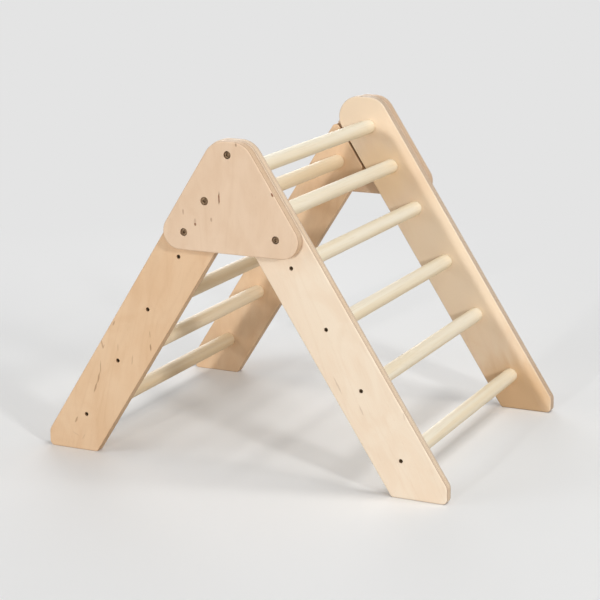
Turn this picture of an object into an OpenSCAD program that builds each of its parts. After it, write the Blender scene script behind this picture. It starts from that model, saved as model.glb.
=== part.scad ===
// Folding climbing triangle: two ladders of plywood rails and round rungs, held at
// the top by a rounded triangular gusset plate on each side. The left ladder turns
// about a bolt in each gusset once the lock screw above it stands backed out.
//
// +X runs across the feet, +Y along the rungs, +Z up. The origin lies on the floor,
// halfway between the feet and halfway along the rungs.

/* [Frame] */
// Height of the point where the centre lines of the rails cross
apex_z = 490.5; // [460:0.5:620]
// Angle, in degrees, that the right ladder leans from upright
lean_angle_right = 33; // [29:0.5:36]
// Angle, in degrees, that the left ladder leans from upright
lean_angle_left = 32; // [29:0.5:36]
// Width over the outer faces of the rails
ladder_w = 530; // [400:1:800]

/* [Boards] */
// Width of each rail
rail_w = 90; // [80:1:100]
// Thickness of each rail
rail_t = 18; // [16:1:24]
// Thickness of each gusset plate
plate_t = 18; // [16:1:24]
// Radius worked on the edges of every board
edge_r = 2; // [1:0.5:3]
// Depth of the flat cut across the top of the right rails and the plates
head_flat = 4; // [2:0.5:6]
// Radius of the two corners of that flat
head_r = 37; // [32:0.5:38]
// Length cut upright off the outer corner of each foot
foot_cut = 17; // [12:0.5:19]
// Radius of the upper end of that cut
foot_bend_r = 16; // [10:1:18]
// Radius of its lower end, at the floor
foot_r = 8; // [4:1:10]
// Radius of the inner corner of each foot
toe_r = 4; // [3:0.5:8]
// Radius of the upper outer corner of a left rail
tip_r = 8; // [5:1:12]
// Radius of the inner corner of a left rail that swings past the right rail
heel_r = 12; // [10:1:20]
// Gap between the sloping top of a left rail and the right rail
stop_gap = 3.5; // [3.5:0.5:8]

/* [Gusset plates] */
// Height of the crossing point above the lower edge of a plate
plate_drop = 133; // [126:1:160]
// Radius of the lower corners of a plate
plate_r = 28; // [15:1:36]

/* [Rungs] */
// Diameter of each rung
rung_d = 25; // [20:1:32]
// Depth of the socket that takes the end of a rung
socket_depth = 8; // [5:0.5:8]
// Distance of the highest rung below the crossing point
rung_top = 13; // [8:1:18]
// Spacing of the two highest rungs
rung_pitch_top = 80; // [70:1:90]
// Spacing of the next two rungs
rung_pitch_upper = 85; // [75:1:95]
// Spacing of the rungs below those
rung_pitch = 107; // [95:1:112]
// Distance of the lowest rung from the floor end of its rails
rung_foot = 71; // [50:1:80]
// Offset of the left rungs from the middle of their rails, away from the right ladder
rung_offset_left = 3; // [0:0.5:6]

/* [Plate bolts] */
// Distance of the top bolt below the flat top of its rail
top_bolt_drop = 20.5; // [18:0.5:23]
// Distance of the two low bolts below the crossing point
low_bolt_drop = 130; // [126:1:134]
// Distance of all three bolts from the outer edge of their rail
bolt_inset = 35; // [33:0.5:37]
// Distance of the lock screw below the crossing point
lock_drop = 67; // [66:0.5:70]
// Distance of the lock screw from the outer edge of the left rail
lock_inset = 38.5; // [37:0.5:40]
// Diameter of the bolts, screws and pivots in the plates
bolt_d = 6; // [5:0.5:6]
// Diameter of a bolt head
head_d = 10; // [9:0.5:10.5]
// Height of a bolt head
head_h = 6; // [4:0.5:6]
// Depth of the top of a bolt head below the face of the plate
head_sink = 1.9; // [1:0.1:2.5]
// Diameter of a washer
washer_d = 12; // [11.5:0.1:12.5]
// Thickness of a washer
washer_t = 1.6; // [1:0.1:2]
// Diameter of the head of a lock screw
lock_head_d = 12.8; // [11:0.1:14]
// Height of the head of a lock screw
lock_head_h = 4; // [3:0.5:5]
// Depth of the top of a backed-out lock screw below the face of the plate
lock_sink = 1; // [0.5:0.1:1.5]
// Thickness of plate left under the head of a lock screw
lock_web = 7; // [5:0.5:8]
// Distance of the tip of a backed-out lock screw from the rail
lock_tip_gap = 0.5; // [0.3:0.1:1]
// Width across the flats of the key sockets in the bolts
key_w = 5; // [3:0.5:5]
// Depth of the key sockets in the bolts
key_depth = 2.8; // [2:0.1:3.5]
// Depth of the key sockets in the lock screws
lock_key_depth = 2.4; // [1.5:0.1:2.5]
// Diameter of a threaded insert
insert_d = 12; // [10:0.5:14]
// Length of a threaded insert
insert_len = 13; // [10:0.5:13]
// Thickness of rail left beyond the tip of a bolt
tip_wall = 3; // [2.5:0.5:5]

/* [Rung screws] */
// Diameter of a rung screw
screw_d = 4.5; // [3.5:0.1:5]
// Length of a rung screw in the rung
screw_bite = 36; // [25:1:50]
// Diameter of the head of a rung screw
screw_head_d = 6.2; // [5.5:0.1:8]
// Height of the head of a rung screw
screw_head_h = 3; // [2:0.1:3]
// Depth of the top of a rung screw below the face of the rail
screw_sink = 2.4; // [1:0.1:2.6]
// Width across the flats of the key socket in a rung screw
screw_key_w = 3; // [2.5:0.5:3.5]
// Depth of the key socket in a rung screw
screw_key_depth = 1.6; // [1:0.1:2]

/* [Fits] */
// Radial clearance of a shank in its bore
shank_fit = 0.05; // [0.02:0.01:0.1]
// Radial clearance of a rung or an insert in its socket
socket_fit = 0.1; // [0.05:0.01:0.15]
// Radial clearance round a sunk head or a washer
head_fit = 0.3; // [0.3:0.1:1]

/* [Hidden] */
NEAR = "near";
FAR = "far";
RIGHT_RUNGS = 6;
LEFT_RUNGS = 5;

PLY = "#e6cba6";
ROD = "#ece2c4";
STEEL = "#4a453f";
ZINC = "#b9bcc0";
BRASS = "#b59a5b";

$fn = 64;
BOARD_FN = 48;
EDGE_STEPS = 3;
MIN_CORE = 0.01;
HEX_SIDES = 6;
CUT = 1;

rail_outer_y = -ladder_w / 2;
rail_inner_y = rail_outer_y + rail_t;
plate_outer_y = rail_outer_y - plate_t;
half_w = rail_w / 2;
head_rise = half_w - head_flat;

// Distance of the upright face of a foot from the crossing point
function foot_reach(lean) = half_w / cos(lean) + apex_z * tan(lean) - foot_cut;

// The crossing point stands where the feet reach equally far to both sides
apex_x = (foot_reach(lean_angle_left) - foot_reach(lean_angle_right)) / 2;

// A point in the side view, measured down a rail from the crossing point and
// outwards from the middle of the rail. side is 1 on the right and -1 on the left.
function on_rail(side, lean, down, out) = [
    apex_x + side * (down * sin(lean) + out * cos(lean)),
    apex_z - down * cos(lean) + out * sin(lean)
];
function on_right(down, out) = on_rail(1, lean_angle_right, down, out);
function on_left(down, out) = on_rail(-1, lean_angle_left, down, out);

// Length of the middle line of a rail below the crossing point
function rail_len(lean) = apex_z / cos(lean);

// Places of the rungs down a rail; the left ladder lacks the highest one
function rung_down(index, lean) =
    index == 1 ? rung_top :
    index == 2 ? rung_top + rung_pitch_top :
    index < RIGHT_RUNGS ? rung_top + rung_pitch_top + rung_pitch_upper + (index - 3) * rung_pitch :
    rail_len(lean) - rung_foot;
function right_rung_at(i) = on_right(rung_down(i, lean_angle_right), 0);
function left_rung_at(i) =
    on_left(rung_down(i + RIGHT_RUNGS - LEFT_RUNGS, lean_angle_left), rung_offset_left);

bolt_out = half_w - bolt_inset;
top_bolt_rise = (head_rise - top_bolt_drop - bolt_out * sin(lean_angle_right)) / cos(lean_angle_right);
top_bolt_at = on_right(-top_bolt_rise, bolt_out);
low_bolt_at = on_right(low_bolt_drop, bolt_out);
pivot_at = on_left(low_bolt_drop, bolt_out);
lock_at = on_left(lock_drop, half_w - lock_inset);

right_places = [for (i = [1 : RIGHT_RUNGS]) right_rung_at(i)];
left_places = [for (i = [1 : LEFT_RUNGS]) left_rung_at(i)];

bolt_sink = head_sink + head_h + washer_t;
bolt_bottom = rail_t - tip_wall;
lock_travel = plate_t - lock_web - lock_head_h - lock_sink;

// Corner circles of a rail, each given by how far down the rail its centre lies.
// The sloping top of a left rail runs along the right rail at the stop gap.
fold_angle = lean_angle_left + lean_angle_right;
function cut_down(out, inset) =
    (half_w + stop_gap + inset - out * cos(fold_angle)) / sin(fold_angle);
function bend_down(lean) =
    (foot_reach(lean) - foot_bend_r - (half_w - foot_bend_r) * cos(lean)) / sin(lean);
function toe_down(lean) = (apex_z - toe_r + (toe_r - half_w) * sin(lean)) / cos(lean);

// The three corners of a foot as [centre, radius]: bend, floor corner, inner corner
function foot_corners(side, lean) = [
    [on_rail(side, lean, bend_down(lean), half_w - foot_bend_r), foot_bend_r],
    [[apex_x + side * (foot_reach(lean) - foot_r), foot_r], foot_r],
    [on_rail(side, lean, toe_down(lean), toe_r - half_w), toe_r]
];

// A corner of a flat top that lies against the outer edge of one ladder (edge = 1) or
// the inner edge of one (edge = -1)
function head_corner(side, lean, edge) = [
    [
        apex_x + side * (edge * (half_w - head_r) - (head_rise - head_r) * sin(lean)) / cos(lean),
        apex_z + head_rise - head_r
    ],
    head_r
];

// --- placing -----------------------------------------------------------------

// Turns a drawing of the side view upright, its height running towards -Y from y
module stand(y) {
    translate([0, y, 0])
        rotate([90, 0, 0])
            children();
}

// Stands a piece that is drawn along +Z at a point of the side view, so that it
// runs inwards along +Y from y
module inward(at, y) {
    translate([at[0], y, at[1]])
        rotate([-90, 0, 0])
            children();
}

// The near side as drawn, or its mirror image on the far side
module on_side(side) {
    if (side == NEAR) children();
    if (side == FAR) mirror([0, 1, 0]) children();
}

// --- boards ------------------------------------------------------------------

// A disc with rounded rims; the hull of several makes a board with rounded edges
module puck(radius, thick) {
    core = max(radius - edge_r, MIN_CORE);
    step = 90 / EDGE_STEPS;
    lower = [for (i = [0 : EDGE_STEPS]) [core + edge_r * sin(i * step), edge_r * (1 - cos(i * step))]];
    upper = [for (i = [0 : EDGE_STEPS])
        [core + edge_r * cos(i * step), thick - edge_r * (1 - sin(i * step))]];
    rotate_extrude($fn = BOARD_FN)
        polygon(concat([[0, 0]], lower, upper, [[0, thick]]));
}

// A board of the side view whose corners are pucks, given as [point, radius]
module board(corners, thick) {
    hull()
        for (corner = corners)
            translate(corner[0])
                puck(corner[1], thick);
}

// Bore along +Z that starts a little before z = 0
module bore(diameter, depth) {
    translate([0, 0, -CUT])
        cylinder(d = diameter, h = depth + CUT);
}

// Socket for a rung and the stepped hole for its screw, from the outer face inwards
module rung_hole() {
    bore(screw_head_d + 2 * head_fit, screw_sink + screw_head_h);
    bore(screw_d + 2 * shank_fit, rail_t);
    translate([0, 0, rail_t - socket_depth])
        cylinder(d = rung_d + 2 * socket_fit, h = socket_depth + CUT);
}

// Pocket for a threaded insert, with room beyond it for the tip of its bolt
module insert_pocket() {
    bore(insert_d + 2 * socket_fit, insert_len);
    bore(bolt_d + 2 * head_fit, bolt_bottom + head_fit);
}

module right_rail() {
    head = [for (edge = [1, -1]) head_corner(1, lean_angle_right, edge)];
    color(PLY)
        difference() {
            stand(rail_inner_y)
                board(concat(head, foot_corners(1, lean_angle_right)), rail_t);
            for (at = right_places)
                inward(at, rail_outer_y) rung_hole();
            for (at = [top_bolt_at, low_bolt_at])
                inward(at, rail_outer_y) insert_pocket();
        }
}

module left_rail() {
    tip_down = cut_down(half_w - tip_r, tip_r);
    heel_down = cut_down(heel_r - half_w, heel_r);
    head = [
        [on_left(tip_down, half_w - tip_r), tip_r],
        [on_left(heel_down, heel_r - half_w), heel_r]
    ];
    color(PLY)
        difference() {
            stand(rail_inner_y)
                board(concat(head, foot_corners(-1, lean_angle_left)), rail_t);
            for (at = left_places)
                inward(at, rail_outer_y) rung_hole();
            for (at = [pivot_at, lock_at])
                inward(at, rail_outer_y) insert_pocket();
        }
}

// The sides of a plate follow the outer edges of the rails
function plate_corner(side, lean) = [
    apex_x + side * (half_w - plate_r + (plate_drop - plate_r) * sin(lean)) / cos(lean),
    apex_z - plate_drop + plate_r
];

module gusset() {
    color(PLY)
        difference() {
            stand(rail_outer_y)
                board([
                    head_corner(1, lean_angle_right, 1),
                    head_corner(-1, lean_angle_left, 1),
                    [plate_corner(1, lean_angle_right), plate_r],
                    [plate_corner(-1, lean_angle_left), plate_r]
                ], plate_t);
            for (at = [top_bolt_at, low_bolt_at, pivot_at])
                inward(at, plate_outer_y) {
                    bore(washer_d + 2 * head_fit, bolt_sink);
                    bore(bolt_d + 2 * shank_fit, plate_t + CUT);
                }
            inward(lock_at, plate_outer_y) {
                bore(lock_head_d + 2 * head_fit, plate_t - lock_web);
                bore(bolt_d + 2 * shank_fit, plate_t + CUT);
            }
        }
}

// --- rungs -------------------------------------------------------------------

module rung(at) {
    length = ladder_w - 2 * (rail_t - socket_depth);
    pilot = screw_d + 2 * shank_fit;
    color(ROD)
        inward(at, -length / 2)
            difference() {
                cylinder(d = rung_d, h = length);
                bore(pilot, screw_bite + CUT);
                translate([0, 0, length])
                    mirror([0, 0, 1])
                        bore(pilot, screw_bite + CUT);
            }
}

// --- fasteners, each drawn along +Z with the top of its head at z = 0 --------

module headed_screw(diameter, length, wide, high, key, deep) {
    difference() {
        union() {
            cylinder(d = wide, h = high);
            cylinder(d = diameter, h = high + length);
        }
        translate([0, 0, -CUT])
            cylinder(d = key / cos(180 / HEX_SIDES), h = deep + CUT, $fn = HEX_SIDES);
    }
}

module rung_screws(places) {
    color(ZINC)
        for (at = places)
            inward(at, rail_outer_y + screw_sink)
                headed_screw(
                    screw_d,
                    rail_t - socket_depth - screw_sink - screw_head_h + screw_bite,
                    screw_head_d,
                    screw_head_h,
                    screw_key_w,
                    screw_key_depth
                );
}

module plate_bolt(at) {
    color(STEEL)
        inward(at, plate_outer_y + head_sink)
            headed_screw(
                bolt_d,
                plate_t - head_sink - head_h + bolt_bottom,
                head_d,
                head_h,
                key_w,
                key_depth
            );
}

module plate_washer(at) {
    color(ZINC)
        inward(at, plate_outer_y + head_sink + head_h)
            difference() {
                cylinder(d = washer_d, h = washer_t);
                bore(bolt_d + 2 * shank_fit, washer_t + CUT);
            }
}

module threaded_insert(at) {
    color(BRASS)
        inward(at, rail_outer_y)
            difference() {
                cylinder(d = insert_d, h = insert_len);
                bore(bolt_d + 2 * shank_fit, insert_len + CUT);
            }
}

// Backed out: the tip stands just clear of the rail, inside the plate
module lock_screw() {
    color(STEEL)
        inward(lock_at, plate_outer_y + lock_sink)
            headed_screw(
                bolt_d,
                lock_travel + lock_web - lock_tip_gap,
                lock_head_d,
                lock_head_h,
                key_w,
                lock_key_depth
            );
}

// --- sub-parts ---------------------------------------------------------------

for (side = [NEAR, FAR]) {
    on_side(side) right_rail();
    on_side(side) left_rail();
    on_side(side) gusset();
    on_side(side) rung_screws(right_places);
    on_side(side) rung_screws(left_places);
    on_side(side) plate_bolt(pivot_at);
    on_side(side) plate_washer(pivot_at);
    on_side(side) threaded_insert(pivot_at);
    on_side(side) lock_screw();
    on_side(side) threaded_insert(lock_at);
    for (at = [top_bolt_at, low_bolt_at]) {
        on_side(side) plate_bolt(at);
        on_side(side) plate_washer(at);
        on_side(side) threaded_insert(at);
    }
}
for (i = [1 : RIGHT_RUNGS])
    rung(right_places[i - 1]);
for (i = [1 : LEFT_RUNGS])
    rung(left_places[i - 1]);
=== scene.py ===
"""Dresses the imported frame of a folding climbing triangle.

The rails and the gusset plates are built again as smooth boards with sanded edges,
bored for their screws, bolts and rungs, and the screws and bolts as turned shapes. The
rungs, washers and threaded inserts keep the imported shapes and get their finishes.
Lengths are metres, in the frame's own axes: +X from the left feet to the right feet, +Y
along the rungs away from the viewer, +Z up.
"""

import logging
import math
from dataclasses import dataclass, replace
from enum import Enum
from typing import Any, Callable, Iterable, Sequence

import bmesh
import bpy
from bmesh.types import BMEdge, BMesh, BMVert
from bpy.types import Material
from mathutils import Matrix, Vector


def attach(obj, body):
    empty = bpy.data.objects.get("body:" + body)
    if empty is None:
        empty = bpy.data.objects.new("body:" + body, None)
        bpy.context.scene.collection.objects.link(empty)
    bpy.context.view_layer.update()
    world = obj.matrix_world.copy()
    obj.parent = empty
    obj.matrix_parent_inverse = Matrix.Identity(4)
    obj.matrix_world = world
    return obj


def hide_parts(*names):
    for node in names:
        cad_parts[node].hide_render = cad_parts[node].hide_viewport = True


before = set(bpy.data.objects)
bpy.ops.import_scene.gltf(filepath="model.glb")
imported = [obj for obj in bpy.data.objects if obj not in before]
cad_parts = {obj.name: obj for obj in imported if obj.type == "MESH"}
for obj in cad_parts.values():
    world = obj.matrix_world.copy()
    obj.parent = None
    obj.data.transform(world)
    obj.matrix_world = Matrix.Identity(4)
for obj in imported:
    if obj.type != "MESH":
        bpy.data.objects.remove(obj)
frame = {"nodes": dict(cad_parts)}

log = logging.getLogger("climbing_triangle")
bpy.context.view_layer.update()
MM = 0.001
MERGE = 0.002 * MM  # points that lie nearer to each other than this are joined
FLAT = 0.01 * MM  # how far from a flat face its edges may lie

Color = tuple[float, float, float, float]
Place = tuple[float, float, float]
Point = tuple[float, float]


class Side(Enum):
    """A long side of the triangle: the near one faces the viewer of the photograph."""

    NEAR = "near"
    FAR = "far"

    @property
    def sign(self) -> float:
        """Sign of Y on this side."""
        return -1.0 if self is Side.NEAR else 1.0


class Ladder(Enum):
    """One of the two ladders, named as the photograph shows them."""

    RIGHT = 1
    LEFT = -1

    @property
    def body(self) -> str:
        """Name of the CAD body that this ladder is."""
        return "right_ladder" if self is Ladder.RIGHT else "left_ladder"


# --- sizes ---


@dataclass(frozen=True)
class Corner:
    """A rounded corner of a board in the side view.

    Args:
        x: Where the corner's circle has its centre, along X.
        z: The same, along Z.
        radius: Radius of the corner in the side view.
    """

    x: float
    z: float
    radius: float


@dataclass(frozen=True)
class Sizes:
    """The named values of the part's source, in metres and radians."""

    apex_z: float = 490.5 * MM
    lean_right: float = math.radians(33)
    lean_left: float = math.radians(32)
    ladder_w: float = 530 * MM
    rail_w: float = 90 * MM
    rail_t: float = 18 * MM
    plate_t: float = 18 * MM
    edge_r: float = 2 * MM
    head_flat: float = 4 * MM
    head_r: float = 37 * MM
    foot_cut: float = 17 * MM
    foot_bend_r: float = 16 * MM
    foot_r: float = 8 * MM
    toe_r: float = 4 * MM
    tip_r: float = 8 * MM
    heel_r: float = 12 * MM
    stop_gap: float = 3.5 * MM
    plate_drop: float = 133 * MM
    plate_r: float = 28 * MM
    rung_d: float = 25 * MM
    socket_depth: float = 8 * MM
    rung_top: float = 13 * MM
    rung_pitch_top: float = 80 * MM
    rung_pitch_upper: float = 85 * MM
    rung_pitch: float = 107 * MM
    rung_foot: float = 71 * MM
    rung_offset_left: float = 3 * MM
    top_bolt_drop: float = 20.5 * MM
    low_bolt_drop: float = 130 * MM
    bolt_inset: float = 35 * MM
    lock_drop: float = 67 * MM
    lock_inset: float = 38.5 * MM
    bolt_d: float = 6 * MM
    head_d: float = 10 * MM
    head_h: float = 6 * MM
    head_sink: float = 1.9 * MM
    washer_d: float = 12 * MM
    washer_t: float = 1.6 * MM
    lock_head_d: float = 12.8 * MM
    lock_head_h: float = 4 * MM
    lock_sink: float = 1 * MM
    lock_web: float = 7 * MM
    lock_tip_gap: float = 0.5 * MM
    key_w: float = 5 * MM
    key_depth: float = 2.8 * MM
    lock_key_depth: float = 2.4 * MM
    insert_d: float = 12 * MM
    insert_len: float = 13 * MM
    tip_wall: float = 3 * MM
    screw_d: float = 4.5 * MM
    screw_bite: float = 36 * MM
    screw_head_d: float = 6.2 * MM
    screw_head_h: float = 3 * MM
    screw_sink: float = 2.4 * MM
    screw_key_w: float = 3 * MM
    screw_key_depth: float = 1.6 * MM
    shank_fit: float = 0.05 * MM
    socket_fit: float = 0.1 * MM
    head_fit: float = 0.3 * MM

    @property
    def half_w(self) -> float:
        """Half the width of a rail."""
        return self.rail_w / 2

    @property
    def head_rise(self) -> float:
        """Height of the flat top of the right rails and plates above the crossing point."""
        return self.half_w - self.head_flat

    @property
    def plate_y(self) -> float:
        """Distance of a plate's outer face from the middle of the rungs."""
        return self.ladder_w / 2 + self.plate_t

    @property
    def bolt_bottom(self) -> float:
        """Depth of a bolt's tip in its rail."""
        return self.rail_t - self.tip_wall

    def lean(self, ladder: Ladder) -> float:
        """Lean of a ladder from upright, in radians."""
        return self.lean_right if ladder is Ladder.RIGHT else self.lean_left

    def reach(self, ladder: Ladder) -> float:
        """Distance of the upright face of a foot from the crossing point."""
        lean = self.lean(ladder)
        return self.half_w / math.cos(lean) + self.apex_z * math.tan(lean) - self.foot_cut

    @property
    def apex_x(self) -> float:
        """Where the middle lines of the rails cross, along X."""
        return (self.reach(Ladder.LEFT) - self.reach(Ladder.RIGHT)) / 2

    def on_rail(self, ladder: Ladder, down: float, out: float) -> Point:
        """Finds a point of the side view from its place on a rail.

        Args:
            ladder: The ladder of the rail.
            down: Distance down the rail from the crossing point.
            out: Distance outwards from the rail's middle line.

        Returns:
            The point's X and Z.
        """
        lean = self.lean(ladder)
        x = self.apex_x + ladder.value * (down * math.sin(lean) + out * math.cos(lean))
        return x, self.apex_z - down * math.cos(lean) + out * math.sin(lean)

    def rung_places(self, ladder: Ladder) -> list[Point]:
        """The places of the rungs of a ladder.

        Args:
            ladder: The ladder.

        Returns:
            The X and Z of each rung, the highest first.
        """
        upper = self.rung_top + self.rung_pitch_top
        downs = [self.rung_top, upper]
        downs += [upper + self.rung_pitch_upper + i * self.rung_pitch for i in range(3)]
        downs.append(self.apex_z / math.cos(self.lean(ladder)) - self.rung_foot)
        if ladder is Ladder.LEFT:
            return [self.on_rail(ladder, d, self.rung_offset_left) for d in downs[1:]]
        return [self.on_rail(ladder, d, 0.0) for d in downs]

    def foot(self, ladder: Ladder) -> list[Corner]:
        """The rounded corners of a rail's foot.

        Args:
            ladder: The ladder of the rail.

        Returns:
            The bend above the floor, the corner at the floor and the inner corner.
        """
        lean, side = self.lean(ladder), ladder.value
        bend_out = self.half_w - self.foot_bend_r
        face_x = self.reach(ladder)
        bend_down = (face_x - self.foot_bend_r - bend_out * math.cos(lean)) / math.sin(lean)
        toe_out = self.toe_r - self.half_w
        toe_down = (self.apex_z - self.toe_r + toe_out * math.sin(lean)) / math.cos(lean)
        return [
            Corner(*self.on_rail(ladder, bend_down, bend_out), self.foot_bend_r),
            Corner(self.apex_x + side * (face_x - self.foot_r), self.foot_r, self.foot_r),
            Corner(*self.on_rail(ladder, toe_down, toe_out), self.toe_r),
        ]

    def head_corner(self, ladder: Ladder, edge: int) -> Corner:
        """A corner of a flat top.

        Args:
            ladder: The ladder whose edge it lies against.
            edge: 1 for that ladder's outer edge and -1 for its inner one.

        Returns:
            The rounded corner.
        """
        lean = self.lean(ladder)
        out = edge * (self.half_w - self.head_r)
        rise = self.head_rise - self.head_r
        across = (out - rise * math.sin(lean)) / math.cos(lean)
        return Corner(self.apex_x + ladder.value * across, self.apex_z + rise, self.head_r)

    def plate_bolts(self) -> dict[str, Point]:
        """The places of the screws in a plate.

        Returns:
            The X and Z of the three bolts and the lock screw, by name.
        """
        out = self.half_w - self.bolt_inset
        lean = self.lean_right
        rise = (self.head_rise - self.top_bolt_drop - out * math.sin(lean)) / math.cos(lean)
        return {
            "top": self.on_rail(Ladder.RIGHT, -rise, out),
            "low": self.on_rail(Ladder.RIGHT, self.low_bolt_drop, out),
            "pivot": self.on_rail(Ladder.LEFT, self.low_bolt_drop, out),
            "lock": self.on_rail(Ladder.LEFT, self.lock_drop, self.half_w - self.lock_inset),
        }

    def head(self, ladder: Ladder) -> list[Corner]:
        """The upper end of a rail.

        Args:
            ladder: The ladder of the rail.

        Returns:
            Its two rounded corners.
        """
        if ladder is Ladder.RIGHT:
            return [self.head_corner(ladder, edge) for edge in (1, -1)]
        corners = []
        fold = self.lean_left + self.lean_right
        for radius, edge in ((self.tip_r, 1), (self.heel_r, -1)):
            out = edge * (self.half_w - radius)
            down = (self.half_w + self.stop_gap + radius - out * math.cos(fold)) / math.sin(fold)
            corners.append(Corner(*self.on_rail(ladder, down, out), radius))
        return corners

    def plate(self) -> list[Corner]:
        """The outline of a gusset plate.

        Returns:
            Its four rounded corners.
        """
        corners = [self.head_corner(ladder, 1) for ladder in Ladder]
        radius = self.plate_r
        down = self.plate_drop - radius
        for ladder in Ladder:
            lean = self.lean(ladder)
            reach = (self.half_w - radius + down * math.sin(lean)) / math.cos(lean)
            x = self.apex_x + ladder.value * reach
            corners.append(Corner(x, self.apex_z - down, radius))
        return corners


SIZES = Sizes()


# --- shader graph ---


def operator(kind: str) -> Callable[["Num", Any], "Num"]:
    """Makes an operator that joins two numbers by one kind of Math node.

    Args:
        kind: The operation of the node, such as ADD.

    Returns:
        The method for Num.
    """

    def join(self: "Num", other: Any) -> "Num":
        """Joins this number and another."""
        return self.calc(kind, self, other)

    return join


class Num:
    """A number in a material's node tree that Python's operators extend.

    A comparison gives 1 where it holds, else 0, and a remainder is never negative.

    Args:
        graph: The graph that new Math nodes go to.
        socket: The output socket that carries it, or a node whose first output does.
    """

    def __init__(self, graph: "Graph", socket: Any) -> None:
        """Keeps the graph and the socket."""
        self.graph = graph
        self.socket = socket

    def calc(self, kind: str, *values: Any) -> "Num":
        """Adds one Math node and returns its result."""
        return Num(self.graph, self.graph.node("Math", dict(enumerate(values)), operation=kind))

    __add__ = __radd__ = operator("ADD")
    __sub__ = operator("SUBTRACT")
    __mul__ = operator("MULTIPLY")
    __truediv__ = operator("DIVIDE")
    __gt__ = operator("GREATER_THAN")
    __lt__ = operator("LESS_THAN")
    __mod__ = operator("FLOORED_MODULO")
    __pow__ = operator("POWER")
    least = operator("MINIMUM")
    most = operator("MAXIMUM")

    def __abs__(self) -> "Num":
        """Magnitude."""
        return self.calc("ABSOLUTE", self)

    def ramp(self, low: float, high: float) -> "Num":
        """Climbs smoothly from 0 at one value to 1 at another.

        Args:
            low: The value that gives 0.
            high: The value that gives 1; it may be the lesser one.

        Returns:
            The smooth step, between 0 and 1.
        """
        span = {"From Min": min(low, high), "From Max": max(low, high)}
        ends = {"To Min": float(low > high), "To Max": float(low <= high)}
        values = {"Value": self, **span, **ends}
        node = self.graph.node("MapRange", values, interpolation_type="SMOOTHSTEP")
        return Num(self.graph, node)


class Graph:
    """The node tree of one new material or world.

    Args:
        name: Its name.
        world: True for a world.
    """

    def __init__(self, name: str, world: bool = False) -> None:
        """Makes the material or the world and empties its tree."""
        self.owner = (bpy.data.worlds if world else bpy.data.materials).new(name)
        self.owner.use_nodes = True
        self.tree = self.owner.node_tree
        self.tree.nodes.clear()

    def node(self, kind: str, values: dict[Any, Any] | None = None, **settings: Any) -> Any:
        """Adds a node, sets it up and fills its sockets.

        Args:
            kind: The node's type after ShaderNode, such as TexNoise.
            values: For each socket, by name, identifier or number, a plain value, a Num,
                a node whose first output is meant, or an output socket.
            **settings: The node's own properties, set before its sockets.

        Returns:
            The new node.
        """
        node = self.tree.nodes.new(f"ShaderNode{kind}")
        for key, value in settings.items():
            setattr(node, key, value)
        by_id = {socket.identifier: socket for socket in node.inputs}
        for key, value in (values or {}).items():
            socket = by_id[key] if key in by_id else node.inputs[key]
            if isinstance(value, Num):
                value = value.socket
            if isinstance(value, bpy.types.Node):
                value = value.outputs[0]
            if isinstance(value, bpy.types.NodeSocket):
                self.tree.links.new(value, socket)
            else:
                socket.default_value = value
        return node

    def place(self, turn: float = 0.0, shift: Place = (0.0, 0.0, 0.0)) -> Any:
        """The object's own coordinates, turned about Y and shifted.

        Args:
            turn: Turn about Y, in radians.
            shift: What is added after the turn, in metres.

        Returns:
            The node that gives the place.
        """
        source = self.node("TexCoord").outputs["Object"]
        values = {"Vector": source, "Rotation": (0.0, turn, 0.0), "Location": shift}
        return self.node("Mapping", values)

    def seen(self) -> Num:
        """Tells the rays that reach the camera from those that only carry light.

        Returns:
            1 for what is seen straight, in a reflection or through glass, and 0 for light.
        """
        rays = self.node("LightPath").outputs
        kinds = ("Is Camera Ray", "Is Glossy Ray", "Is Transmission Ray")
        camera, glossy, transmission = (Num(self, rays[kind]) for kind in kinds)
        return (camera + glossy + transmission).least(1.0)

    def split(self, vector: Any) -> tuple[Num, Num, Num]:
        """The X, Y and Z of a vector as numbers."""
        return tuple(Num(self, s) for s in self.node("SeparateXYZ", {0: vector}).outputs)

    def noise(
        self,
        vector: Any,
        stretch: Place,
        detail: float = 2.0,
        roughness: float = 0.5,
        distortion: float = 0.0,
    ) -> Num:
        """Noise of about 0 to 1, stretched along the axes.

        Args:
            vector: The place it is read at, in metres.
            stretch: Waves per metre along each axis.
            detail: Number of finer layers.
            roughness: Weight of each finer layer.
            distortion: How far the places are pushed about.

        Returns:
            The noise.
        """
        scaled = self.node("VectorMath", {0: vector, 1: stretch}, operation="MULTIPLY")
        values = {"Vector": scaled, "Scale": 1.0, "Detail": detail, "Roughness": roughness}
        return Num(self, self.node("TexNoise", {**values, "Distortion": distortion}))

    def blend(self, factor: Any, first: Any, second: Any) -> Any:
        """Mixes two colours.

        Args:
            factor: Share of the second colour.
            first: The first colour, or its socket.
            second: The second colour, or its socket.

        Returns:
            The output socket that carries the colour.
        """
        values = {"Factor_Float": factor, "A_Color": first, "B_Color": second}
        node = self.node("Mix", values, data_type="RGBA", clamp_factor=True)
        return next(s for s in node.outputs if s.identifier == "Result_Color")

    def finish(
        self,
        color: Any,
        roughness: Any,
        height: Num | None = None,
        depth: float = 0.0,
        metallic: float = 0.0,
        ior: float = 1.45,
    ) -> Material:
        """Closes the material with one Principled shader.

        Args:
            color: Base colour or its socket.
            roughness: Roughness or its number.
            height: What the surface's relief follows, from 0 to 1.
            depth: How deep that relief is, in metres.
            metallic: 1 for bare metal.
            ior: Index of refraction.

        Returns:
            The material.
        """
        values = {"Base Color": color, "Roughness": roughness, "Metallic": metallic, "IOR": ior}
        if height is not None:
            relief = {"Strength": 1.0, "Distance": depth, "Height": height}
            values["Normal"] = self.node("Bump", relief)
        self.node("OutputMaterial", {"Surface": self.node("BsdfPrincipled", values)})
        return self.owner


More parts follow.
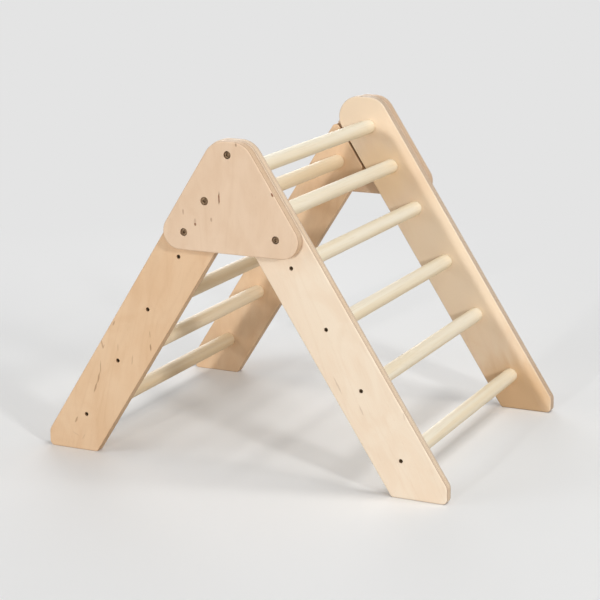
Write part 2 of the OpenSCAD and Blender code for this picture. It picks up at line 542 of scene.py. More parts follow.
def paint(red: int, green: int, blue: int) -> Color:
    """Turns a screen colour into the linear colour that a shader takes.

    Args:
        red: Its red, from 0 to 255.
        green: Its green.
        blue: Its blue.

    Returns:
        The linear colour, with an alpha of 1.
    """
    shares = (level / 255 for level in (red, green, blue))
    return (*(s / 12.92 if s <= 0.04045 else ((s + 0.055) / 1.055) ** 2.4 for s in shares), 1.0)


# --- finishes ---


@dataclass(frozen=True)
class Streak:
    """A dark mineral streak or pin knot in the face of a near board, in millimetres.

    Args:
        x: Its middle along X.
        z: Its middle along Z.
        length: Its length.
        width: Its width.
        turn: Its turn from upright towards +X, in degrees.
        depth: How dark it is, from 0 to 1.
    """

    x: float
    z: float
    length: float
    width: float
    turn: float = 0.0
    depth: float = 0.5


@dataclass(frozen=True)
class Patch:
    """A broad, soft patch of colour in a board, in millimetres: painted light and shade, and some
    of the wood's own tone.

    Args:
        x: Its middle along X.
        z: Its middle along Z.
        reach: How far it reaches before it has faded out.
        tone: The colour painted in its middle.
    """

    x: float
    z: float
    reach: float
    tone: Color


@dataclass(frozen=True)
class Plywood:
    """Sanded birch plywood under a clear satin finish.

    Args:
        name: Name of the material.
        pale: Colour of the palest wood of the face.
        warm: Colour of the warmer clouds of the face.
        line: Colour of the fine dark fibres and growth lines.
        grain_turn: Turn of the grain from upright towards +X, in radians.
        stack_from: Distance of the board's inner face from the middle of the rungs.
        thick: Thickness of the board.
        streaks: Marks in the near outer face.
        patches: Soft patches of painted light and shade, and of the wood's own tone, over all of
            the board.
        shift: Where in the endless log this board was cut.
        ply_edge_shade: Painted shade on the edges: how dark the crossed plies are at least, from 0
            to 1.
        rim: How far the edges and the outer face lean to the grey of painted shade, which tones
            down the highlight on the rounded edges, from 0 to 1.
        plies: Number of layers.
        skin: How near to a face the plies are still counted.
        dull_and_shade: The grey of that painted shade.
        ends: Darker and paler colour of the crossed plies.
        burnt: Colour of their darkest end grain.
        seam: Colour of the glue seams.
        mark: Colour of the streaks.
    """

    name: str
    pale: Color
    warm: Color
    line: Color
    grain_turn: float
    stack_from: float
    thick: float
    streaks: tuple[Streak, ...] = ()
    patches: tuple[Patch, ...] = ()
    shift: Place = (0.0, 0.0, 0.0)
    ply_edge_shade: float = 0.0
    rim: float = 0.0
    plies: int = 13
    skin: float = 0.2 * MM
    # grey of the painted shade on the edges and the outer face
    dull_and_shade: Color = paint(180, 185, 185)
    ends: tuple[Color, Color] = (paint(206, 170, 130), paint(226, 196, 158))
    burnt: Color = paint(150, 106, 66)
    seam: Color = paint(146, 106, 70)
    mark: Color = paint(126, 78, 44)

    def material(self) -> Material:
        """Builds the material.

        Returns:
            Veneer with its marks, and the plies on the edges.
        """
        graph = Graph(self.name)
        place = graph.place(turn=-self.grain_turn, shift=self.shift)
        _, y, _ = graph.split(graph.place())
        fibres = graph.noise(place, (900, 300, 16), detail=3, roughness=0.65)
        color = self._face(graph, place, fibres)
        # painted light and shade, with some of the wood's own tone, laid on in soft patches
        for patch in self.patches:
            color = graph.blend(self._spread(graph, place, patch), color, patch.tone)
        depth = abs(y) - self.stack_from
        # painted shade: the edges and the outer face lean to grey, toning down the highlight on the
        # rounded edges
        color = graph.blend(depth.ramp(0.05 * MM, 0.5 * MM) * self.rim, color, self.dull_and_shade)
        color = self._plies(graph, place, depth, color)
        if self.streaks:
            outer = (y < 0.0) * (abs(y) > self.stack_from + self.thick - 0.6 * MM)
            marks: Num | float = 0.0
            for streak in self.streaks:
                marks = self._mark(graph, streak) + marks
            color = graph.blend(marks * outer, color, self.mark)
        rough = 0.48 + fibres * 0.14
        return graph.finish(color, rough, fibres, depth=0.05 * MM, ior=1.42)

    def _face(self, graph: Graph, place: Any, fibres: Num) -> Any:
        """Colours the rotary-cut veneer.

        Args:
            graph: The graph of the material.
            place: The place in the log.
            fibres: The noise of the fine fibres.

        Returns:
            The colour of the face.
        """
        clouds = graph.noise(place, (26, 22, 13), detail=4, roughness=0.6, distortion=0.6)
        wide = graph.noise(place, (7, 6, 4), detail=1)
        rings = abs((graph.noise(place, (11, 7, 2.2), detail=2, distortion=0.3) * 11.0) % 1.0 - 0.5)
        flecks = graph.noise(place, (1200, 900, 130), detail=2, roughness=0.6)
        color = graph.blend(clouds.ramp(0.34, 0.68) * 0.6, self.pale, self.warm)
        color = graph.blend(wide.ramp(0.35, 0.7) * 0.4, color, self.warm)
        color = graph.blend(rings.ramp(0.26, 0.5) * 0.07, color, self.line)
        color = graph.blend(fibres.ramp(0.52, 0.8) * 0.15, color, self.line)
        return graph.blend(flecks.ramp(0.64, 0.78) * 0.3, color, self.line)

    def _spread(self, graph: Graph, place: Any, patch: Patch) -> Num:
        """Draws out one patch in flames along the grain.

        Args:
            graph: The graph of the material.
            place: The place in the log.
            patch: The patch.

        Returns:
            Its mask, which is 1 in the middle.
        """
        x, _, z = graph.split(graph.place(shift=(-patch.x * MM, 0.0, -patch.z * MM)))
        flames = graph.noise(place, (70, 40, 14), detail=3, distortion=0.8) - 0.5
        return ((x * x + z * z) / (patch.reach * MM) ** 2 + flames * 0.7).ramp(1.0, 0.1)

    def _plies(self, graph: Graph, place: Any, depth: Num, color: Any) -> Any:
        """Lays the crossed plies and their seams over the face colour.

        Args:
            graph: The graph of the material.
            place: The place in the log.
            depth: The distance from the board's inner face.
            color: The face colour.

        Returns:
            The colour of the faces and the edges.
        """
        inside = depth.most(self.skin).least(self.thick - self.skin)
        step = inside / (self.thick / self.plies)
        crossed = (step % 2.0) > 1.0
        seam = abs((step % 1.0) - 0.5).ramp(0.42, 0.5)
        ends = graph.noise(place, (1500, 60, 1500), detail=2)
        cut = graph.blend(ends.ramp(0.3, 0.75), *self.ends)
        tone = graph.noise(place, (0.0, 430.0, 0.0), detail=0).ramp(0.42, 0.56) * 0.6
        outer = abs(step - self.plies / 2) > self.plies / 2 - 2.0
        # painted shade on the edges sets the least darkness of the crossed plies
        dark = tone.most(outer * 0.9).most(self.ply_edge_shade)
        cut = graph.blend(dark, cut, self.burnt)
        side = graph.blend(crossed * 0.85, color, cut)
        return graph.blend(seam * crossed * 0.4, side, self.seam)

    def _mark(self, graph: Graph, streak: Streak) -> Num:
        """Draws one streak, frayed along the grain.

        Args:
            graph: The graph of the material.
            streak: The streak.

        Returns:
            Its mask, which is the streak's depth in the middle.
        """
        turn = math.radians(streak.turn)
        middle = Matrix.Rotation(-turn, 3, "Y") @ Vector((streak.x, 0.0, streak.z)) * -MM
        place = graph.place(turn=-turn, shift=middle)
        fray = graph.noise(place, (300, 40, 90), detail=2) - 0.5
        x, _, z = graph.split(place)
        across = (x + fray * (streak.width * 1.4 * MM)) / (streak.width / 2 * MM)
        along = z / (streak.length / 2 * MM)
        return (across * across + along * along).ramp(1.0, 0.2) * streak.depth


@dataclass(frozen=True)
class Rod:
    """Sanded round rod of a pale, creamy wood, its grain along the rung.

    Args:
        name: Name of the material.
        pale: Colour of the palest wood.
        warm: Colour of its warmer bands.
        line: Colour of the fine dark fibres.
    """

    name: str
    pale: Color
    warm: Color
    line: Color

    def material(self) -> Material:
        """Builds the material.

        Returns:
            Wood with long fibres and a slow change of tone.
        """
        graph = Graph(self.name)
        place = graph.place()
        bands = graph.noise(place, (70, 2.2, 70), detail=2, distortion=0.4)
        fibres = graph.noise(place, (620, 12, 620), detail=3, roughness=0.6)
        flecks = graph.noise(place, (1500, 70, 1500), detail=1)
        color = graph.blend(bands.ramp(0.32, 0.7), self.pale, self.warm)
        color = graph.blend(fibres.ramp(0.52, 0.8) * 0.35, color, self.line)
        color = graph.blend(flecks.ramp(0.68, 0.8) * 0.25, color, self.line)
        return graph.finish(color, 0.42 + fibres * 0.18, fibres, depth=0.04 * MM, ior=1.42)


@dataclass(frozen=True)
class Metal:
    """A metal of the fasteners, dulled a little by handling.

    Args:
        name: Name of the material.
        bright: Its colour where it is clean.
        dull_and_shade: Its colour where it is dull.
        rough: Its mean roughness.
    """

    name: str
    bright: Color
    dull_and_shade: Color
    rough: float

    def material(self) -> Material:
        """Builds the material.

        Returns:
            Metal with turning lines and duller patches.
        """
        graph = Graph(self.name)
        place = graph.place()
        patches = graph.noise(place, (240, 240, 240), detail=3)
        lines = graph.noise(place, (90, 2600, 90), detail=1)
        color = graph.blend(patches.ramp(0.35, 0.7), self.bright, self.dull_and_shade)
        rough = self.rough + patches * 0.18 + lines * 0.06
        return graph.finish(color, rough, lines, depth=0.01 * MM, metallic=1.0)


# --- boards ---


def picked(geom: Iterable[Any], kind: type) -> list[Any]:
    """The elements of one kind out of mixed ones."""
    return [element for element in geom if isinstance(element, kind)]


def rounding(start: float, radius: float, steps: int) -> list[Point]:
    """A quarter round that leads from a flat face into a wall.

    Args:
        start: Where the wall stands.
        radius: Its radius, negative where the face lies on the wall's nearer side.
        steps: Number of steps.

    Returns:
        How far out and how deep each of its points lies.
    """
    turns = (math.pi / 2 * i / steps for i in range(steps + 1))
    return [
        (start + radius * (1 - math.sin(a)), abs(radius) * (1 - math.cos(a))) for a in turns
    ]


def turned(
    bm: BMesh,
    points: Iterable[Sequence[float]],
    centre: Sequence[float],
    steps: int,
    angle: float = math.tau,
) -> list[Any]:
    """Turns a line of points about an axis along Y.

    Args:
        bm: The mesh that the surface goes to.
        points: The points of the line.
        centre: A point of the axis.
        steps: Number of steps.
        angle: The turn, counter-clockwise as the viewer sees it.

    Returns:
        The vertices and edges in which the surface ends.
    """
    verts = [bm.verts.new(point) for point in points]
    edges = [bm.edges.new(pair) for pair in zip(verts, verts[1:])]
    spun = bmesh.ops.spin(
        bm,
        geom=verts + edges,
        cent=centre,
        axis=(0.0, -1.0, 0.0),
        dvec=(0.0, 0.0, 0.0),
        angle=angle,
        steps=steps,
        use_merge=angle == math.tau,
        use_duplicate=False,
    )
    return spun["geom_last"]


def close_face(bm: BMesh, level: float, normal: float) -> None:
    """Fills a flat face within its open edges.

    Args:
        bm: The mesh.
        level: The Y of the face.
        normal: The Y of its normal.
    """
    rims = [
        e for e in bm.edges if e.is_boundary and all(abs(v.co.y - level) < FLAT for v in e.verts)
    ]
    bmesh.ops.triangle_fill(
        bm, use_beauty=True, use_dissolve=False, edges=rims, normal=(0.0, normal, 0.0)
    )


def set_side(bm: BMesh, side: Side) -> None:
    """Mirrors a near shape for the far side and turns its faces outwards.

    Args:
        bm: The shape.
        side: The side that it goes to.
    """
    if side is Side.FAR:
        bmesh.ops.scale(bm, vec=(1.0, -1.0, 1.0), verts=bm.verts)
    bmesh.ops.recalc_face_normals(bm, faces=bm.faces)


@dataclass(frozen=True)
class Hole:
    """A turned hole that runs into a board from its outer face.

    Args:
        x: The X of its axis.
        z: The Z of its axis.
        steps: Radius and depth of each step, from the outer face inwards.
        through: True if it comes out of the inner face.
    """

    x: float
    z: float
    steps: tuple[Point, ...]
    through: bool


@dataclass
class Board:
    """A flat board with sanded edges that stands upright along X and Z.

    Args:
        name: Name of the new piece.
        node: The CAD node that it stands for.
        body: The CAD body that it rides on.
        slot: Name of its material slot; not used.
        side: The side that it lies on.
        corners: Its rounded corners.
        outer_y: Distance of its outer face from the middle of the rungs.
        thick: Its thickness.
        holes: Its holes.
        support: Width of the strip of face that is kept along each rim.
        edge_steps: Steps of its rounded edges.
        round_steps: Steps of a corner of half a turn.
        hole_steps: Steps round a hole.
        ease: Radius of the eased rims of its holes.
    """

    name: str
    node: str
    body: str
    slot: str
    side: Side
    corners: list[Corner]
    outer_y: float
    thick: float
    holes: list[Hole]
    support: float = 0.35 * MM
    edge_steps: int = 6
    round_steps: int = 40
    hole_steps: int = 40
    ease: float = 0.3 * MM

    def profile(self) -> list[Point]:
        """The section of the rim.

        Returns:
            How far in from the outline, and how deep, each of its points lies.
        """
        radius = SIZES.edge_r
        front = [(radius + self.support, 0.0), *rounding(0.0, radius, self.edge_steps)]
        return front + [(inset, self.thick - depth) for inset, depth in reversed(front)]

    def ordered(self) -> list[Corner]:
        """Sorts the corners.

        Returns:
            The corners in turn round the board, counter-clockwise as the viewer sees it.
        """
        mid_x = sum(c.x for c in self.corners) / len(self.corners)
        mid_z = sum(c.z for c in self.corners) / len(self.corners)
        return sorted(self.corners, key=lambda c: math.atan2(c.z - mid_z, c.x - mid_x))

    @staticmethod
    def facing(a: Corner, b: Corner) -> float:
        """Finds which way the straight edge between two corners faces.

        Args:
            a: The corner that the edge starts from.
            b: The corner that it leads to.

        Returns:
            The angle of its outward normal from +X towards +Z.
        """
        along = math.atan2(b.z - a.z, b.x - a.x)
        apart = math.hypot(b.x - a.x, b.z - a.z)
        return along - math.acos((a.radius - b.radius) / apart)

    def _rim(self, bm: BMesh) -> None:
        """Turns the section round each corner and draws it out to the next one.

        Args:
            bm: The mesh that the rim goes to.
        """
        corners = self.ordered()
        profile = self.profile()
        count = len(corners)
        for i, corner in enumerate(corners):
            after = corners[(i + 1) % count]
            start = self.facing(corners[i - 1], corner)
            end = self.facing(corner, after)
            sweep = (end - start) % math.tau
            centre = Vector((corner.x, 0.0, corner.z))
            facing = Vector((math.cos(start), 0.0, math.sin(start)))
            points = [
                centre + facing * (corner.radius - inset) + Vector((0.0, depth - self.outer_y, 0.0))
                for inset, depth in profile
            ]
            steps = max(3, round(self.round_steps * sweep / math.pi))
            last = picked(turned(bm, points, centre, steps, sweep), BMEdge)
            drawn = bmesh.ops.extrude_edge_only(bm, edges=last)
            normal = Vector((math.cos(end), 0.0, math.sin(end)))
            travel = Vector((after.x - corner.x, 0.0, after.z - corner.z))
            travel += normal * (after.radius - corner.radius)
            moved = picked(drawn["geom"], BMVert)
            bmesh.ops.translate(bm, verts=moved, vec=travel)

    def _hole(self, bm: BMesh, hole: Hole) -> None:
        """Turns the wall of one hole, with its rims eased.

        Args:
            bm: The mesh that the wall goes to.
            hole: The hole.
        """
        first, last = hole.steps[0], hole.steps[-1]
        ease = self.ease
        points = [(first[0] + ease + self.support, 0.0), *rounding(first[0], ease, 3), first]
        for step_r, step_d in hole.steps[1:]:
            points += [(step_r, points[-1][1]), (step_r, step_d)]
        if hole.through:
            points[-1] = (last[0], self.thick - ease)
            points += [(last[0] + ease, self.thick), (last[0] + ease + self.support, self.thick)]
        else:
            points.append((0.0, last[1]))
        line = [(hole.x + r, depth - self.outer_y, hole.z) for r, depth in points]
        turned(bm, line, (hole.x, 0.0, hole.z), self.hole_steps)

    def build(self, finish: Material) -> None:
        """Makes the board, dresses it and sets it on its body.

        Args:
            finish: The material that it wears.
        """
        bm = bmesh.new()
        self._rim(bm)
        for hole in self.holes:
            self._hole(bm, hole)
        bmesh.ops.remove_doubles(bm, verts=bm.verts, dist=MERGE)
        close_face(bm, -self.outer_y, -1.0)
        close_face(bm, self.thick - self.outer_y, 1.0)
        set_side(bm, self.side)
        board = make_piece(self.name, bm, finish)
        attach(board, self.body)
        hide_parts(self.node)


def make_piece(name: str, bm: BMesh, finish: Material) -> bpy.types.Object:
    """Makes an object of a finished bmesh, smooth but for its sharp edges.

    Args:
        name: Name of the piece.
        bm: Its shape, which is freed.
        finish: The material that it wears.

    Returns:
        The new object, linked to the scene.
    """
    mesh = bpy.data.meshes.new(name)
    bm.to_mesh(mesh)
    bm.free()
    mesh.materials.append(finish)
    mesh.shade_smooth()
    mesh.set_sharp_from_angle(angle=math.radians(35))
    piece = bpy.data.objects.new(name, mesh)
    bpy.context.scene.collection.objects.link(piece)
    piece.modifiers.new("even_normals", "WEIGHTED_NORMAL").keep_sharp = True
    log.info("%s: %d faces", name, len(mesh.polygons))
    return piece


# --- sub-assemblies ---


@dataclass
class RailPair:
    """The near and far rail of one ladder.

    Args:
        ladder: The ladder.
        finishes: What its near and its far rail wear.
    """

    ladder: Ladder
    finishes: dict[Side, Plywood]

    def holes(self) -> list[Hole]:
        """The holes of a rail.

        Returns:
            One for each rung and one for each threaded insert.
        """
        s = SIZES
        rung = (
            (s.screw_head_d / 2 + s.head_fit, s.screw_sink + s.screw_head_h),
            (s.screw_d / 2 + s.shank_fit, s.rail_t - s.socket_depth),
            (s.rung_d / 2 + s.socket_fit, s.rail_t),
        )
        insert = (
            (s.insert_d / 2 + s.socket_fit, s.insert_len),
            (s.bolt_d / 2 + s.head_fit, s.bolt_bottom + s.head_fit),
        )
        bolts = s.plate_bolts()
        names = ("top", "low") if self.ladder is Ladder.RIGHT else ("pivot", "lock")
        rungs = [Hole(*at, rung, through=True) for at in s.rung_places(self.ladder)]
        return rungs + [Hole(*bolts[n], insert, through=False) for n in names]

    def build(self) -> None:
        """Builds both rails."""
        word = self.ladder.name.lower()
        for side in Side:
            Board(
                name=f"{word}_rail_board_{side.value}",
                node=f"{word}_rail_{side.value}",
                body=self.ladder.body,
                slot=f"{word}_rail",
                side=side,
                corners=SIZES.head(self.ladder) + SIZES.foot(self.ladder),
                outer_y=SIZES.ladder_w / 2,
                thick=SIZES.rail_t,
                holes=self.holes(),
            ).build(self.finishes[side].material())


@dataclass
class PlatePair:
    """The near and far gusset plate, which ride on the right ladder.

    Args:
        finish: What both wear.
        washer_fit: How far their bores clear the washers.
        lock_fit: How far they clear the heads of the lock screws.
        lock_gap: What is left under those heads once they are driven in.
    """

    finish: Plywood
    washer_fit: float = 0.1 * MM
    lock_fit: float = 0.2 * MM
    lock_gap: float = 0.05 * MM

    def holes(self) -> list[Hole]:
        """The stepped holes of a plate.

        Returns:
            One for each of the three bolts and one for the lock screw.
        """
        s = SIZES
        bolt = (s.washer_d / 2 + self.washer_fit, s.head_sink + s.head_h + s.washer_t)
        lock = (s.lock_head_d / 2 + self.lock_fit, s.plate_t - s.lock_web + self.lock_gap)
        shank = (s.bolt_d / 2 + s.shank_fit, s.plate_t)
        return [
            Hole(*at, (lock if name == "lock" else bolt, shank), through=True)
            for name, at in s.plate_bolts().items()
        ]

    def build(self) -> None:
        """Builds both plates."""
        finish = self.finish.material()
        for side in Side:
            Board(
                name=f"gusset_plate_{side.value}",
                node=f"gusset_{side.value}",
                body="right_ladder",
                slot="gusset_plate",
                side=side,
                corners=SIZES.plate(),
                outer_y=SIZES.plate_y,
                thick=SIZES.plate_t,
                holes=self.holes(),
            ).build(finish)


@dataclass
class Fasteners:
    """A row of equal screws or bolts, each with a rounded head and a key socket.

    Args:
        name: Name of the new piece of each side, without its side.
        node: The CAD node of each side that it stands for, without its side.
        body: The CAD body that it rides on; where it holds {}, that is the side.
        slot: Name of its material slot; not used.
        places: The X and Z of each one.
        top_y: Distance of the tops of their heads from the middle of the rungs.
        head: Radius and height of a head.
        shank: Radius of a shank and length of the whole screw.
        key: Width across the flats of the key socket, and its depth.
        ease: Radius of a head's rounded edge.
        around: Steps round a screw.
    """

    name: str
    node: str
    body: str
    slot: str
    places: list[Point]
    top_y: float
    head: Point
    shank: Point
    key: Point
    ease: float = 0.5 * MM
    around: int = 48

    def _turned(self, bm: BMesh, inner: float) -> None:
        """Turns the head and the shank.

        Args:
            bm: The mesh that they go to.
            inner: Radius inside which the top stays open.
        """
        head_r, head_h = self.head
        shank_r, length = self.shank
        ease = self.ease
        points = [(inner, 0.0), *rounding(head_r, -ease, 4)]
        points += [(head_r, head_h - ease / 2), (head_r - ease / 2, head_h), (shank_r, head_h)]
        points += [(shank_r, length - ease), (shank_r - ease, length), (0.0, length)]
        turned(bm, [(r, depth, 0.0) for r, depth in points], (0.0, 0.0, 0.0), self.around)

    def _socket(self, bm: BMesh, radius: float) -> None:
        """Sinks the key socket and closes the head round it.

        Args:
            bm: The mesh of the head.
            radius: Radius of the socket over its corners.
        """
        stand = Matrix.Rotation(math.pi / 2, 4, "X")
        made = bmesh.ops.create_circle(bm, segments=6, radius=radius, matrix=stand)
        ring = set(made["verts"])
        rim = [e for e in bm.edges if ring.issuperset(e.verts)]
        wall = bmesh.ops.extrude_edge_only(bm, edges=rim)["geom"]
        bmesh.ops.translate(bm, verts=picked(wall, BMVert), vec=(0.0, self.key[1], 0.0))
        floor = [e for e in picked(wall, BMEdge) if e.is_boundary and e not in rim]
        bmesh.ops.contextual_create(bm, geom=floor)
        close_face(bm, 0.0, -1.0)

    def build(self, finish: Material) -> None:
        """Makes the near and the far row.

        Args:
            finish: The material that they wear.
        """
        socket_r = self.key[0] / math.sqrt(3)
        for side in Side:
            bm = bmesh.new()
            self._turned(bm, socket_r + self.ease / 2)
            bmesh.ops.remove_doubles(bm, verts=bm.verts, dist=MERGE)
            self._socket(bm, socket_r)
            set_side(bm, side)
            one = list(bm.verts) + list(bm.edges) + list(bm.faces)
            for x, z in self.places:
                copy = picked(bmesh.ops.duplicate(bm, geom=one)["geom"], BMVert)
                bmesh.ops.translate(bm, verts=copy, vec=(x, side.sign * self.top_y, z))
            bmesh.ops.delete(bm, geom=picked(one, BMVert), context="VERTS")
            row = make_piece(f"{self.name}_{side.value}", bm, finish)
            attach(row, self.body.format(side.value))
            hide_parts(f"{self.node}_{side.value}")


@dataclass
class Hardware:
    """All screws and bolts of the triangle.

    Args:
        bolt: Finish of the bolts and the lock screws.
        screw: Finish of the rung screws.
    """

    bolt: Metal = Metal("bolt_steel", paint(154, 130, 104), paint(100, 80, 60), 0.5)
    screw: Metal = Metal("screw_steel", paint(92, 78, 60), paint(56, 46, 34), 0.5)

    def build(self) -> None:
        """Builds each row of fasteners."""
        s = SIZES
        bolts = s.plate_bolts()
        bolt_steel, screw_steel = self.bolt.material(), self.screw.material()
        for name, node, body, places in (
            ("plate_bolts", "gusset_bolts", "right_ladder", [bolts["top"], bolts["low"]]),
            ("hinge_bolt", "pivot_bolt", "left_ladder", [bolts["pivot"]]),
        ):
            Fasteners(
                name=name,
                node=node,
                body=body,
                slot="bolt",
                places=places,
                top_y=s.plate_y - s.head_sink,
                head=(s.head_d / 2, s.head_h),
                shank=(s.bolt_d / 2, s.plate_t + s.bolt_bottom - s.head_sink),
                key=(s.key_w, s.key_depth),
            ).build(bolt_steel)
        Fasteners(
            name="locking_screw",
            node="lock_screw",
            body="lock_{}",
            slot="bolt",
            places=[bolts["lock"]],
            top_y=s.plate_y - s.lock_sink,
            head=(s.lock_head_d / 2, s.lock_head_h),
            shank=(s.bolt_d / 2, s.plate_t - s.lock_sink - s.lock_tip_gap),
            key=(s.key_w, s.lock_key_depth),
        ).build(bolt_steel)
        for ladder in Ladder:
            word = ladder.name.lower()
            Fasteners(
                name=f"{word}_ladder_screws",
                node=f"{word}_rung_screws",
                body=ladder.body,
                slot="rung_screw",
                places=s.rung_places(ladder),
                top_y=s.ladder_w / 2 - s.screw_sink,
                head=(s.screw_head_d / 2, s.screw_head_h),
                shank=(s.screw_d / 2, s.rail_t - s.socket_depth - s.screw_sink + s.screw_bite),
                key=(s.screw_key_w, s.screw_key_depth),
                ease=0.3 * MM,
                around=32,
            ).build(screw_steel)


@dataclass
class PackedPieces:
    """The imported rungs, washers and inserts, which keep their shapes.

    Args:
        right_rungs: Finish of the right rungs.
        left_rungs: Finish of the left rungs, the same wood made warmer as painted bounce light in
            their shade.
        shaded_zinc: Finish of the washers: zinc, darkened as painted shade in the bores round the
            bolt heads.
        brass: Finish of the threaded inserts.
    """

    right_rungs: Rod = Rod(
        "right_rung_wood", paint(246, 236, 214), paint(240, 224, 193), paint(214, 188, 149)
    )
    # the same dowels as the right rungs, painted warmer to stand in for warm bounce light in the
    # left ladder's shade
    left_rungs: Rod = Rod(
        "left_rung_wood_warm_shade", paint(245, 227, 197), paint(237, 214, 177), paint(206, 176, 133)
    )
    # zinc washers, darkened so the ring round each bolt head reads as the shade in its bore
    shaded_zinc: Metal = Metal("washer_zinc_and_shade", paint(120, 116, 110), paint(84, 80, 74), 0.4)
    brass: Metal = Metal("insert_brass", paint(196, 166, 104), paint(160, 130, 78), 0.36)

    def dress(self, nodes: dict[str, bpy.types.Object]) -> None:
        """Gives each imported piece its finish.

        Args:
            nodes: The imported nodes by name.
        """
        finishes = {
            "right_rung_": self.right_rungs.material(),
            "left_rung_": self.left_rungs.material(),
            "washer": self.shaded_zinc.material(),
            "insert": self.brass.material(),
        }
        for name, node in nodes.items():
            word = next((w for w in finishes if w in name and "screws" not in name), None)
            if word is None:
                continue
            for slot in node.material_slots:
                slot.material = finishes[word]
            log.info("%s wears %s", name, finishes[word].name)


# --- the set ---


@dataclass
class Studio:
    """A plain pale floor, soft lamps and the camera of the photograph.

    Args:
        lens: Focal length in millimetres, on a sensor 36 wide.
        camera_at: Where the camera stands.
        yaw: Its turn about the upright, from looking along Y.
        pitch: How far it looks down.
        floor_size: Width of the floor.
        aim: What the lamps face.
        backdrop: Colour behind the object.
    """

    lens: float = 115.98
    camera_at: Place = (1.3009, -2.8526, 1.0071)
    yaw: float = math.radians(24.794)
    pitch: float = math.radians(14.052)
    floor_size: float = 60.0
    aim: Place = (0.0, 0.0, 0.27)
    backdrop: Color = paint(228, 228, 228)

    def floor(self) -> None:
        """Lays the floor, which turns into an even backdrop away from the object."""
        bm = bmesh.new()
        bmesh.ops.create_grid(bm, x_segments=1, y_segments=1, size=self.floor_size / 2)
        graph = Graph("floor_paint")
        seen = graph.seen()
        x, y, _ = graph.split(graph.place())
        away = ((x * x + y * y) ** 0.5).ramp(0.5, 1.8)
        color = graph.blend(seen, paint(192, 183, 172), paint(238, 238, 237))
        matt = graph.node("BsdfPrincipled", {"Base Color": color, "Roughness": 0.8})
        glow = graph.node("Emission", {"Color": self.backdrop})
        mix = graph.node("MixShader", {0: seen * away, 1: matt, 2: glow})
        graph.node("OutputMaterial", {"Surface": mix})
        make_piece("floor", bm, graph.owner)

    def lamp(self, name: str, toward: Place, size: float, level: float) -> None:
        """Hangs a square lamp that faces the middle of the object.

        Args:
            name: Name of the lamp.
            toward: Its place as seen from the middle of the object.
            size: Its width.
            level: What it adds to a white sheet that faces it, where 1 is full white.
        """
        away = Vector(toward)
        data = bpy.data.lights.new(name, "AREA")
        data.shape = "SQUARE"
        data.size = size
        data.energy = level * math.pi**2 * away.length_squared
        lamp = bpy.data.objects.new(name, data)
        lamp.location = Vector(self.aim) + away
        lamp.rotation_mode = "QUATERNION"
        lamp.rotation_quaternion = (-away).to_track_quat("-Z", "Y")
        bpy.context.scene.collection.objects.link(lamp)

    def light(self) -> None:
        """Hangs the lamps and sets the even light of the room and its pale backdrop."""
        self.lamp("front_lamp", (-0.42, -12.0, 1.59), 0.28, 0.33)
        self.lamp("left_lamp", (-2.84, -2.38, 1.5), 1.6, 0.144)
        self.lamp("right_lamp", (3.92, -2.7, 1.52), 0.45, 0.345)
        self.lamp("high_lamp", (1.48, 0.0, 3.17), 1.4, 0.41)
        self.lamp("back_lamp", (-1.6, 2.6, 0.7), 1.8, 0.36)
        graph = Graph("room_light", world=True)
        room = graph.node("Background", {"Color": paint(240, 241, 243), "Strength": 0.285})
        wall = graph.node("Background", {"Color": self.backdrop, "Strength": 1.0})
        mix = graph.node("MixShader", {0: graph.seen(), 1: room, 2: wall})
        graph.node("OutputWorld", {"Surface": mix})
        bpy.context.scene.world = graph.owner

    def camera(self) -> None:
        """Sets the camera where the photograph was taken from."""
        data = bpy.data.cameras.new("photo_camera")
        data.lens = self.lens
        camera = bpy.data.objects.new("photo_camera", data)
        camera.location = self.camera_at
        camera.rotation_euler = (math.pi / 2 - self.pitch, 0.0, self.yaw)
        bpy.context.scene.collection.objects.link(camera)
        bpy.context.scene.camera = camera

    def build(self) -> None:
        """Builds the whole set."""
        self.floor()
        self.light()
        self.camera()
        bpy.context.scene.view_settings.view_transform = "Standard"


# --- the whole ---


PLATE_STREAKS = (
    Streak(-21.8, 444, 25, 2.6, 1, 0.95),
    Streak(-83.9, 417.7, 11, 2.4, 1, 0.5),
    Streak(-63.1, 404, 13, 4.5, 1, 0.28),
    Streak(-63.0, 399.5, 5.5, 4.2, 0, 0.7),
    Streak(-35.3, 409.3, 8, 3.4, 0, 0.4),
    Streak(7.8, 527.6, 7, 3.0, 0, 0.6),
    Streak(68.0, 456, 8, 3.4, -20, 1.0),
)
LEFT_STREAKS = (
    Streak(-248.6, 145, 26, 2.4, 3, 0.38),
    Streak(-252.6, 127, 24, 3.2, 14, 0.5),
    Streak(-258.8, 110, 24, 3.2, 20, 0.5),
    Streak(-156.4, 210, 14, 1.8, 1, 0.4),
    Streak(-155.5, 188.5, 14, 3.0, -1, 0.6),
    Streak(-244.7, 184, 16, 2.6, -6, 0.5),
    Streak(-242.0, 180, 10, 2.0, 24, 0.45),
    Streak(-222.0, 221, 11, 2.8, 30, 0.45),
    Streak(-296.7, 50, 14, 3.4, 30, 0.48),
    Streak(-215.5, 182, 15, 1.8, 4, 0.3),
    Streak(-189.6, 164, 21, 2.2, 8, 0.3),
    Streak(-299, 26, 17, 2.6, -62, 0.14),
    Streak(-284, 22, 13, 2.6, 34, 0.16),
)
RIGHT_STREAKS = (
    Streak(208.3, 131.7, 21, 2.6, -24, 0.22),
    Streak(169.2, 166, 37, 3.0, -29, 0.24),
    Streak(277.9, 132, 17, 2.4, -12, 0.2),
)
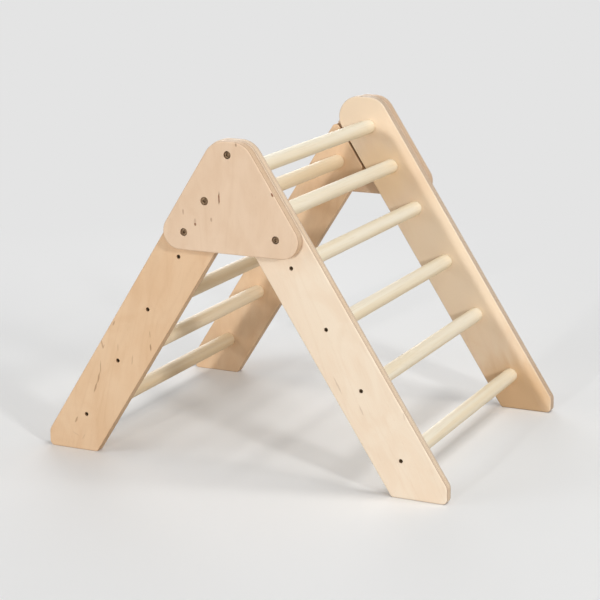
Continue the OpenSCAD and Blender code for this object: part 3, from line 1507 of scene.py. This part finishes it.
# Painted light and shade on the far right rail: a darker head, a warm tint for bounce light in the
# shade under the head, a lighter middle, and a darker, warmer foot that is partly the wood's own
# tone.
RIGHT_FAR_LIGHT_PATCHES = (
    Patch(-22, 516, 75, paint(233, 211, 183)),
    Patch(24, 396, 66, paint(246, 218, 181)),
    Patch(152, 247, 150, paint(247, 226, 198)),
    Patch(279, 12, 98, paint(226, 190, 148)),
)


LEFT_PLYWOOD = Plywood(
    name="left_near_plywood",
    pale=paint(230, 199, 164),
    warm=paint(220, 183, 144),
    line=paint(190, 146, 102),
    grain_turn=math.radians(13),
    stack_from=SIZES.ladder_w / 2 - SIZES.rail_t,
    thick=SIZES.rail_t,
    streaks=LEFT_STREAKS,
    shift=(1.37, 0.4, 2.11),
)
RIGHT_PLYWOOD = replace(
    LEFT_PLYWOOD,
    name="right_near_plywood",
    pale=paint(242, 226, 204),
    warm=paint(236, 213, 187),
    line=paint(212, 179, 144),
    grain_turn=-SIZES.lean_right + math.radians(8),
    streaks=RIGHT_STREAKS,
    shift=(0.31, 0.0, 0.77),
)
RAIL_FINISHES = {
    Ladder.LEFT: {
        Side.NEAR: LEFT_PLYWOOD,
        Side.FAR: replace(
            LEFT_PLYWOOD, name="left_far_plywood", streaks=(), shift=(4.1, 0.2, 5.3)
        ),
    },
    Ladder.RIGHT: {
        Side.NEAR: RIGHT_PLYWOOD,
        Side.FAR: replace(
            RIGHT_PLYWOOD,
            name="right_far_plywood",
            # warmer and redder than the near rail: partly its own tone, partly painted warm bounce
            # light on its shaded inner face
            pale=paint(246, 224, 196),
            warm=paint(242, 213, 180),
            line=paint(210, 175, 136),
            streaks=(),
            patches=RIGHT_FAR_LIGHT_PATCHES,
            shift=(3.3, 0.6, 4.7),
            # painted shade on its edges, darkening all its crossed plies
            ply_edge_shade=0.8,
            # painted shade toning down the highlight on its rounded edges
            rim=0.25,
        ),
    },
}
PLATE_FINISH = Plywood(
    name="gusset_plywood",
    pale=paint(230, 204, 177),
    warm=paint(221, 191, 161),
    line=paint(196, 158, 122),
    grain_turn=0.0,
    stack_from=SIZES.ladder_w / 2,
    thick=SIZES.plate_t,
    streaks=PLATE_STREAKS,
    shift=(2.53, 0.9, 3.37),
)


def main() -> None:
    """Builds the pieces in order and reports each one."""
    logging.basicConfig(level=logging.INFO, format="%(name)s: %(message)s")
    for ladder in Ladder:
        RailPair(ladder, RAIL_FINISHES[ladder]).build()
    PlatePair(PLATE_FINISH).build()
    Hardware().build()
    PackedPieces().dress(frame["nodes"])
    Studio().build()


if __name__ == "__main__":
    main()
